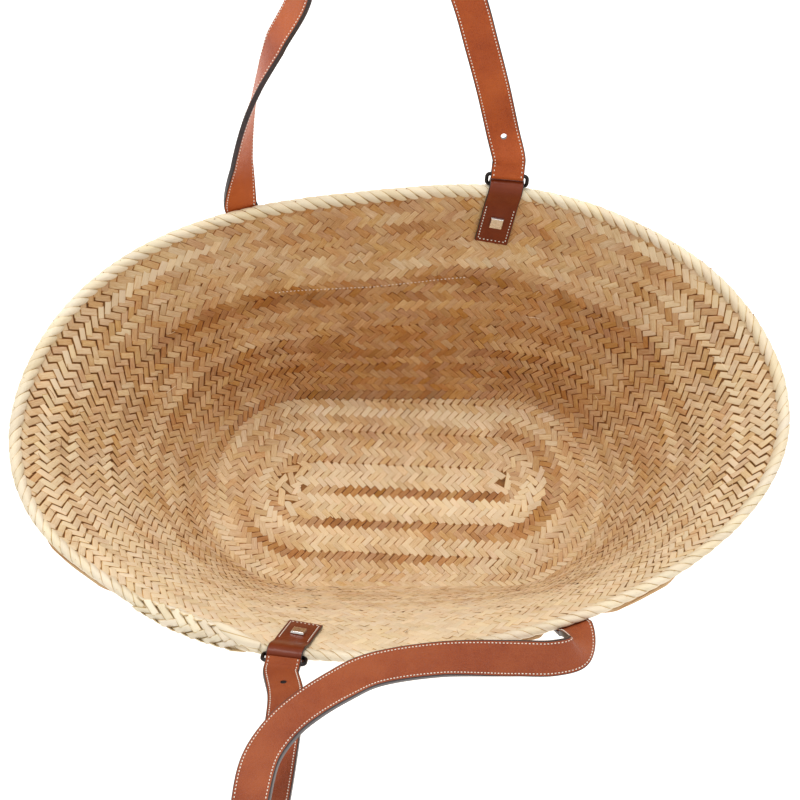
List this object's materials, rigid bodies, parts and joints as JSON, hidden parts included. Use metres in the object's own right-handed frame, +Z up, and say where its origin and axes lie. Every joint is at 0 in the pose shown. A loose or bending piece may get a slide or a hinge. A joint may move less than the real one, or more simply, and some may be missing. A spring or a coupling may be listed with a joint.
{
  "type": "woven palm tote bag with leather handles",
  "caption": "Wide flared basket tote woven from braided palm leaf, open at the top, with flat leather strap handles on square metal loops.",
  "frame": {"origin": "middle of the basket's floor, on its underside where the bag stands", "axes": "+Z up out of the mouth, +X along the bag's length, -Y towards the side with the front handle"},
  "size_m": [0.5069, 0.6114, 0.4024],
  "materials": {
    "palm_braid": "herringbone braid of dried palm leaf, satin strands",
    "palm_selvage": "pale wrapped palm selvage, satin",
    "tan_leather": "pebbled semi-gloss leather, black painted edges, pale stitching",
    "dark_metal": "dark satin plating",
    "bright_metal": "brushed bright plating"
  },
  "bodies": {
    "root": {"basket_body": "palm_braid", "rim_roll": "palm_selvage", "tab_back": "tan_leather", "ring_back": "dark_metal", "stud_back_inner": "bright_metal", "stud_back_outer": "bright_metal", "handle_back": "tan_leather", "tab_front": "tan_leather", "ring_front": "dark_metal", "stud_front_inner": "bright_metal", "stud_front_outer": "bright_metal", "handle_front": "tan_leather"}
  },
  "joints": []
}
